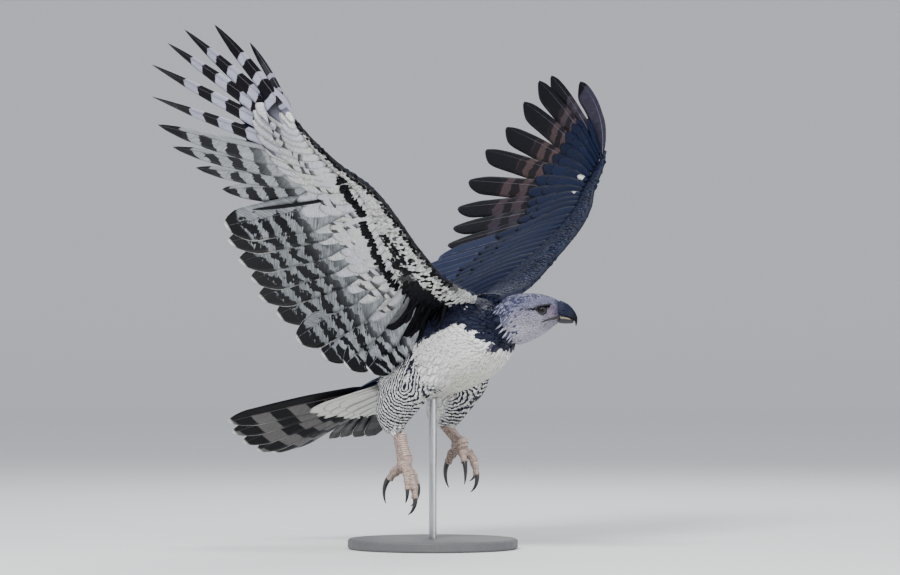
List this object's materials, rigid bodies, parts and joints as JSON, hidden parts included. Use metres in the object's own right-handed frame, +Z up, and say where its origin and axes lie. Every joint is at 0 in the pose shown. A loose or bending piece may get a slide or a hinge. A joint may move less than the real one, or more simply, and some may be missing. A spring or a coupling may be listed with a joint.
{
  "type": "harpy eagle display model",
  "caption": "Life-size still model of a harpy eagle in flight, wings raised and feet in open grasp, held by one rod on a round flat base.",
  "frame": {"origin": "centre of the round base's underside", "axes": "+Z up; the bird heads towards -Y and its left wing reaches towards +X"},
  "size_m": [1.3267, 0.9211, 1.2135],
  "materials": {
    "white_feathers": "soft white breast and leg feathers",
    "slate_feathers": "slate-black feathers with a dull sheen",
    "grey_head": "soft pale grey head feathers",
    "beak_horn": "dark slate horn",
    "eye": "wet gloss",
    "leg_skin": "dull pinkish-buff scaled skin",
    "claw_horn": "black horn",
    "painted_base": "satin dark grey paint",
    "brushed_steel": "brushed"
  },
  "bodies": {
    "root": {"torso": "white_feathers", "neck": "slate_feathers", "head": "grey_head", "beak_upper": "beak_horn", "beak_lower": "beak_horn", "eye_left": "eye", "eye_right": "eye", "tail": "slate_feathers", "wing_arm_left": "slate_feathers", "wing_arm_right": "slate_feathers", "wing_hand_left": "slate_feathers", "wing_hand_right": "slate_feathers", "thigh_left": "white_feathers", "thigh_right": "white_feathers", "tarsus_left": "leg_skin", "tarsus_right": "leg_skin", "foot_left": "leg_skin", "foot_right": "leg_skin", "claw_middle_left": "claw_horn", "claw_outer_left": "claw_horn", "claw_inner_left": "claw_horn", "claw_hind_left": "claw_horn", "claw_middle_right": "claw_horn", "claw_outer_right": "claw_horn", "claw_inner_right": "claw_horn", "claw_hind_right": "claw_horn", "stand_base": "painted_base", "stand_rod": "brushed_steel"}
  },
  "joints": []
}
